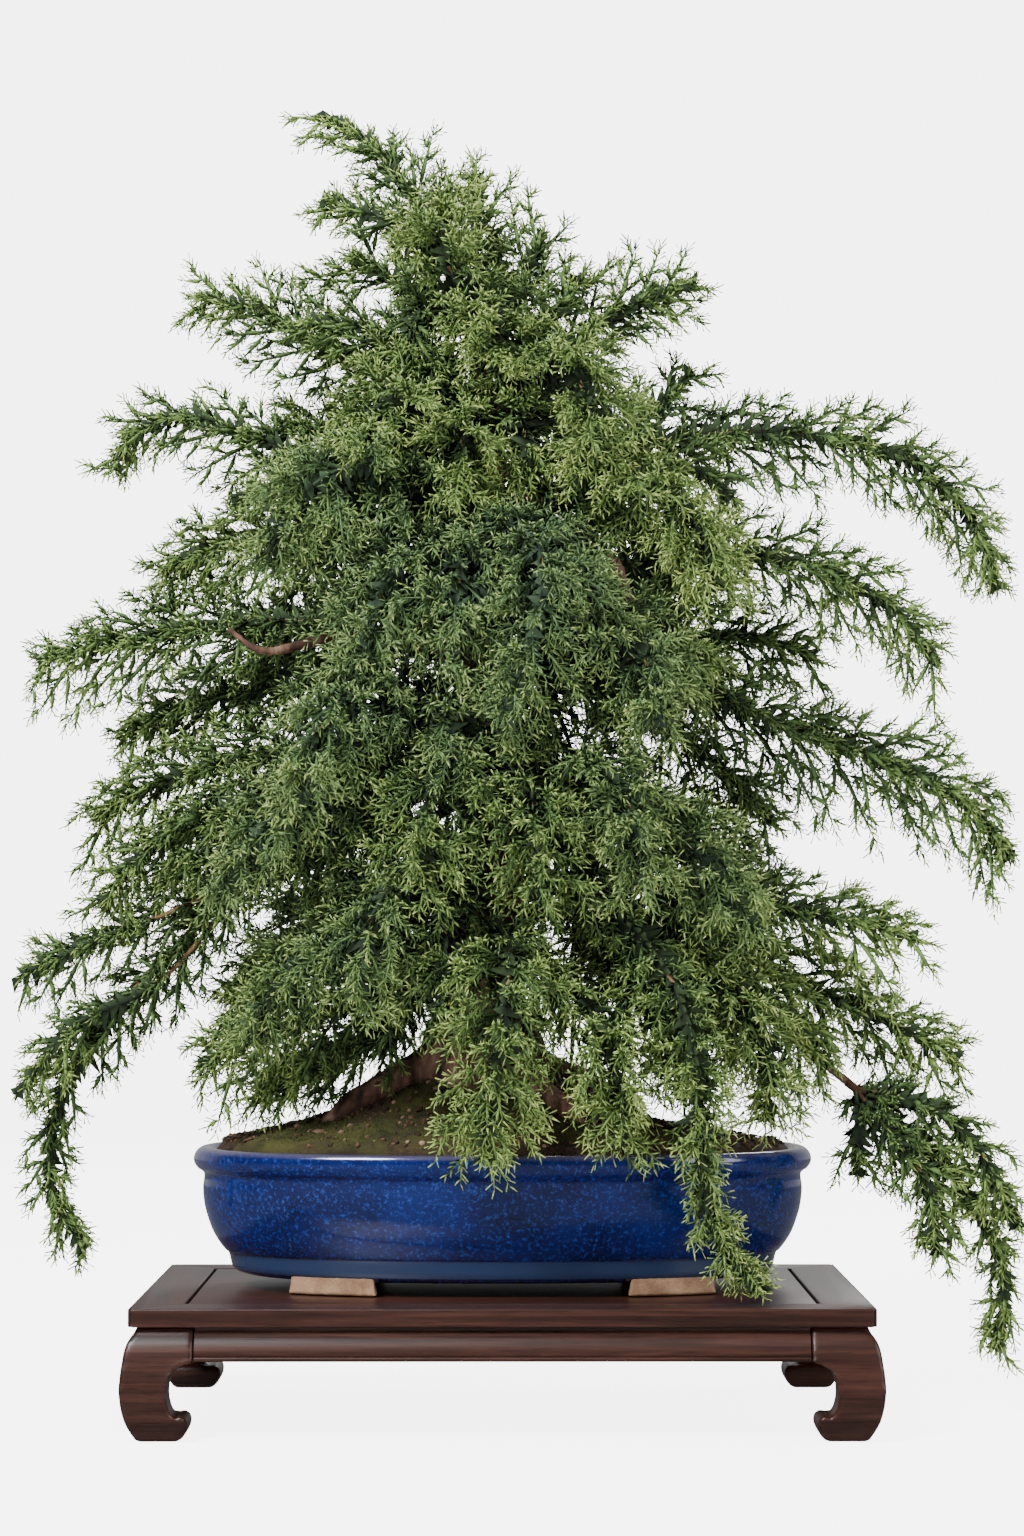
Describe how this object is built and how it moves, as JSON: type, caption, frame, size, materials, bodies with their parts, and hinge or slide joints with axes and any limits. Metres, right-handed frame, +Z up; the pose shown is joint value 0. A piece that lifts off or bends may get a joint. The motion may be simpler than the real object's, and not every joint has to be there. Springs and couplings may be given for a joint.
{
  "type": "juniper bonsai",
  "caption": "Drooping needle juniper trained as a bonsai, in a glazed oval pot on a low wooden display stand.",
  "frame": {"origin": "on the floor, under the middle of the whole object", "axes": "+Z up, +X to the right of the tree as seen from its front, +Y to its back"},
  "size_m": [0.7512, 0.387, 0.978],
  "materials": {
    "rosewood": "satin",
    "cobalt_glaze": "gloss",
    "unglazed_clay": "matte",
    "drain_mesh": "matte",
    "potting_soil": "matte",
    "moss": "matte",
    "juniper_bark": "matte",
    "juniper_needles": "matte"
  },
  "bodies": {
    "root": {"stand_rail_front": "rosewood", "stand_apron_front": "rosewood", "stand_rail_right": "rosewood", "stand_apron_right": "rosewood", "stand_rail_back": "rosewood", "stand_apron_back": "rosewood", "stand_rail_left": "rosewood", "stand_apron_left": "rosewood", "stand_panel": "rosewood", "stand_leg_front_left": "rosewood", "stand_leg_back_left": "rosewood", "stand_leg_front_right": "rosewood", "stand_leg_back_right": "rosewood", "pot": "cobalt_glaze", "drain_mesh_left": "drain_mesh", "drain_mesh_right": "drain_mesh", "soil": "potting_soil", "trunk_and_branches": "juniper_bark", "spray_crown_leader": "juniper_needles", "spray_crown_right": "juniper_needles", "spray_crown_left": "juniper_needles", "spray_crown_front": "juniper_needles", "spray_crown_back": "juniper_needles", "spray_upper_left": "juniper_needles", "spray_upper_right": "juniper_needles", "spray_upper_front_right": "juniper_needles", "spray_upper_front_left": "juniper_needles", "spray_upper_back": "juniper_needles", "spray_second_left": "juniper_needles", "spray_second_right": "juniper_needles", "spray_second_front_left": "juniper_needles", "spray_second_front_right": "juniper_needles", "spray_second_back_left": "juniper_needles", "spray_second_back_right": "juniper_needles", "spray_front_column": "juniper_needles", "spray_middle_left": "juniper_needles", "spray_middle_far_left": "juniper_needles", "spray_middle_right": "juniper_needles", "spray_middle_right_front": "juniper_needles", "spray_middle_back_left": "juniper_needles", "spray_middle_back": "juniper_needles", "spray_middle_back_right": "juniper_needles", "spray_lower_left": "juniper_needles", "spray_lower_left_front": "juniper_needles", "spray_lower_front_centre": "juniper_needles", "spray_lower_front_right": "juniper_needles", "spray_lower_right": "juniper_needles", "spray_lower_back_left": "juniper_needles", "spray_lower_back": "juniper_needles", "spray_lower_back_right": "juniper_needles", "spray_left_cascade": "juniper_needles", "spray_skirt_left": "juniper_needles", "spray_skirt_front_left": "juniper_needles", "spray_skirt_front_centre": "juniper_needles", "spray_front_cascade": "juniper_needles", "spray_right_cascade": "juniper_needles", "spray_right_fan": "juniper_needles", "spray_skirt_back_left": "juniper_needles", "spray_skirt_back": "juniper_needles", "spray_skirt_back_right": "juniper_needles"}
  },
  "joints": []
}
